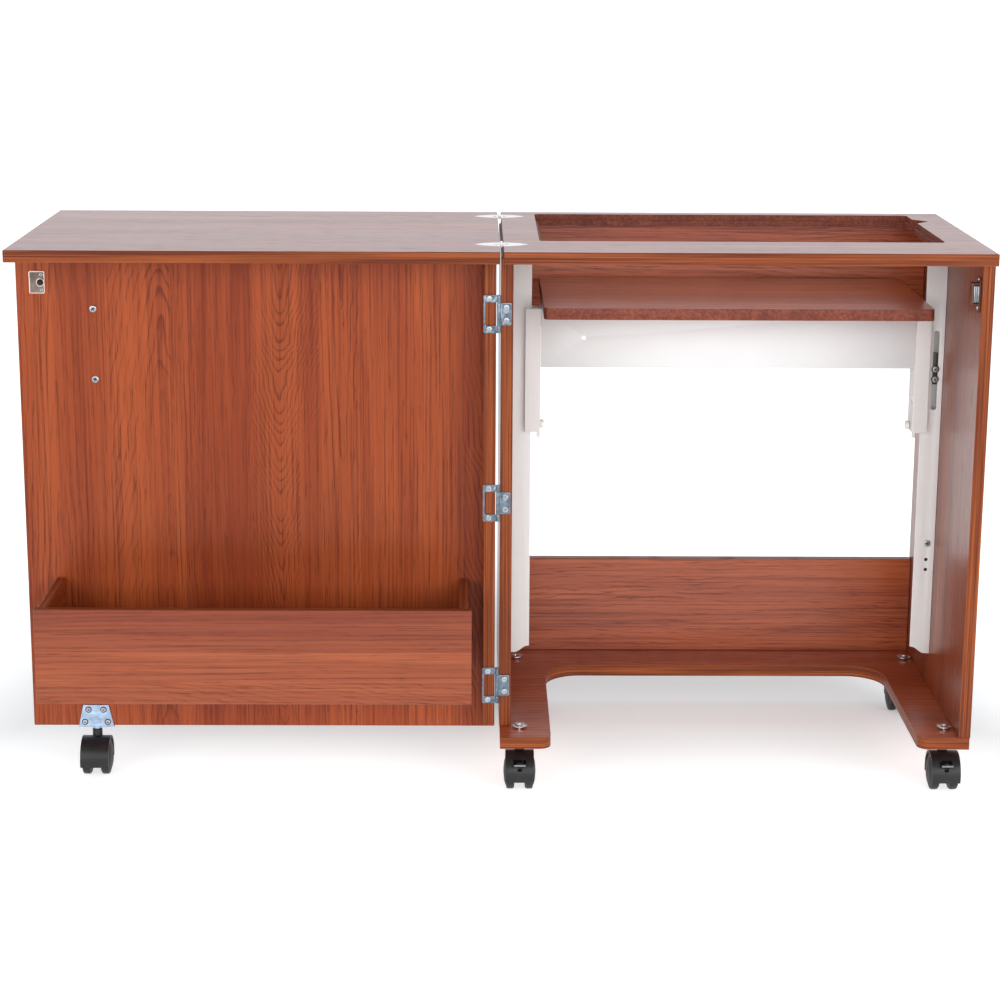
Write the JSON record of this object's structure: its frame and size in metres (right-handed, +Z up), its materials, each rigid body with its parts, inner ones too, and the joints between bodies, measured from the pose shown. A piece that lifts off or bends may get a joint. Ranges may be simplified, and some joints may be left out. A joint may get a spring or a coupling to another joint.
{
  "type": "sewing cabinet",
  "caption": "Cherry sewing cabinet on casters, open: work top with a machine cut-out over a sliding lift platform, fold-over side leaf, and a swing door with a storage bin.",
  "frame": {"origin": "middle of the open cabinet's footprint on the floor: X = 0 on the door's hinge axis, Y = 0 midway between the bin front and the back edge of the top, Z = 0 at the floor", "axes": "+X along the width towards the lift, +Y towards the back, +Z up; the knee space opens towards -Y"},
  "size_m": [1.2914, 0.4864, 0.7525],
  "materials": {
    "cherry_laminate": "satin cherry woodgrain laminate on board",
    "white_painted_steel": "off-white powder coat",
    "zinc_steel": "bright zinc plate",
    "white_nylon": "natural nylon",
    "black_plastic": "black satin plastic",
    "caster_wheels": "black plastic tread",
    "black_rubber": "matt rubber"
  },
  "bodies": {
    "cabinet": {"main_top": "cherry_laminate", "left_side_panel": "cherry_laminate", "right_side_panel": "cherry_laminate", "upper_back_rail": "cherry_laminate", "lower_back_panel": "cherry_laminate", "base_panel": "cherry_laminate", "left_lift_rail": "white_painted_steel", "right_lift_rail": "white_painted_steel", "lift_stop_screw": "zinc_steel", "magnet_catch": "black_plastic", "upper_hinge_cabinet_leaf": "zinc_steel", "middle_hinge_cabinet_leaf": "zinc_steel", "lower_hinge_cabinet_leaf": "zinc_steel", "front_leaf_hinge_fixed_plate": "zinc_steel", "rear_leaf_hinge_fixed_plate": "zinc_steel", "front_left_caster_stem": "zinc_steel", "front_right_caster_stem": "zinc_steel", "rear_left_caster_stem": "zinc_steel", "rear_right_caster_stem": "zinc_steel"},
    "door": {"door_panel": "cherry_laminate", "door_hinge_board": "cherry_laminate", "bin_front": "cherry_laminate", "bin_left_end": "cherry_laminate", "bin_right_end": "cherry_laminate", "bin_bottom": "cherry_laminate", "upper_hinge_door_leaf": "zinc_steel", "middle_hinge_door_leaf": "zinc_steel", "lower_hinge_door_leaf": "zinc_steel", "door_caster_bracket": "zinc_steel", "door_caster_stem": "zinc_steel", "strike_plate": "zinc_steel", "strike_bumper": "black_rubber", "door_handle": "zinc_steel"},
    "leaf": {"folding_leaf": "cherry_laminate", "front_leaf_hinge_moving_plate": "zinc_steel", "rear_leaf_hinge_moving_plate": "zinc_steel"},
    "lift": {"machine_platform": "cherry_laminate", "lift_cross_panel": "white_painted_steel", "left_lift_carriage": "white_painted_steel", "left_upper_glide": "white_nylon", "left_lower_glide": "white_nylon", "left_platform_bracket": "zinc_steel", "left_carriage_pin": "white_nylon", "right_lift_carriage": "white_painted_steel", "right_upper_glide": "white_nylon", "right_lower_glide": "white_nylon", "right_platform_bracket": "zinc_steel", "right_carriage_pin": "white_nylon"},
    "front_left_caster": {"front_left_caster_hood": "black_plastic"},
    "front_left_wheels": {"front_left_caster_wheels": "caster_wheels"},
    "front_left_brake": {"front_left_caster_brake": "black_plastic"},
    "front_right_caster": {"front_right_caster_hood": "black_plastic"},
    "front_right_wheels": {"front_right_caster_wheels": "caster_wheels"},
    "front_right_brake": {"front_right_caster_brake": "black_plastic"},
    "rear_left_caster": {"rear_left_caster_hood": "black_plastic"},
    "rear_left_wheels": {"rear_left_caster_wheels": "caster_wheels"},
    "rear_right_caster": {"rear_right_caster_hood": "black_plastic"},
    "rear_right_wheels": {"rear_right_caster_wheels": "caster_wheels"},
    "door_caster": {"door_caster_hood": "black_plastic"},
    "door_wheels": {"door_caster_wheels": "caster_wheels"}
  },
  "joints": [
    {"name": "door_swing", "type": "hinge", "parent": "cabinet", "child": "door", "pos_m": [0, -0.1315, 0.4], "axis": [0, 0, 1], "range_deg": [0, 180]},
    {"name": "leaf_fold", "type": "hinge", "parent": "cabinet", "child": "leaf", "pos_m": [0.0032, 0, 0.7504], "axis": [0, 1, 0], "range_deg": [0, 180]},
    {"name": "lift_slide", "type": "slide", "parent": "cabinet", "child": "lift", "axis": [0, 0, 1], "range_m": [-0.162, 0.0916]},
    {"name": "front_left_swivel", "type": "hinge", "parent": "cabinet", "child": "front_left_caster", "pos_m": [0.0317, -0.1338, 0.057], "axis": [0, 0, 1], "continuous": true},
    {"name": "front_left_roll", "type": "hinge", "parent": "front_left_caster", "child": "front_left_wheels", "pos_m": [0.0317, -0.1438, 0.025], "axis": [1, 0, 0], "continuous": true},
    {"name": "front_left_brake_tab", "type": "hinge", "parent": "front_left_caster", "child": "front_left_brake", "pos_m": [0.0317, -0.1608, 0.044], "axis": [1, 0, 0], "range_deg": [0, 18]},
    {"name": "front_right_swivel", "type": "hinge", "parent": "cabinet", "child": "front_right_caster", "pos_m": [0.6172, -0.1338, 0.057], "axis": [0, 0, 1], "continuous": true},
    {"name": "front_right_roll", "type": "hinge", "parent": "front_right_caster", "child": "front_right_wheels", "pos_m": [0.6172, -0.1438, 0.025], "axis": [1, 0, 0], "continuous": true},
    {"name": "front_right_brake_tab", "type": "hinge", "parent": "front_right_caster", "child": "front_right_brake", "pos_m": [0.6172, -0.1608, 0.044], "axis": [1, 0, 0], "range_deg": [0, 18]},
    {"name": "rear_left_swivel", "type": "hinge", "parent": "cabinet", "child": "rear_left_caster", "pos_m": [0.0317, 0.1862, 0.057], "axis": [0, 0, 1], "continuous": true},
    {"name": "rear_left_roll", "type": "hinge", "parent": "rear_left_caster", "child": "rear_left_wheels", "pos_m": [0.0317, 0.1962, 0.025], "axis": [1, 0, 0], "continuous": true},
    {"name": "rear_right_swivel", "type": "hinge", "parent": "cabinet", "child": "rear_right_caster", "pos_m": [0.6172, 0.1862, 0.057], "axis": [0, 0, 1], "continuous": true},
    {"name": "rear_right_roll", "type": "hinge", "parent": "rear_right_caster", "child": "rear_right_wheels", "pos_m": [0.6172, 0.1962, 0.025], "axis": [1, 0, 0], "continuous": true},
    {"name": "door_swivel", "type": "hinge", "parent": "door", "child": "door_caster", "pos_m": [-0.5587, -0.0777, 0.057], "axis": [0, 0, 1], "continuous": true},
    {"name": "door_roll", "type": "hinge", "parent": "door_caster", "child": "door_wheels", "pos_m": [-0.5587, -0.0877, 0.025], "axis": [1, 0, 0], "continuous": true}
  ]
}
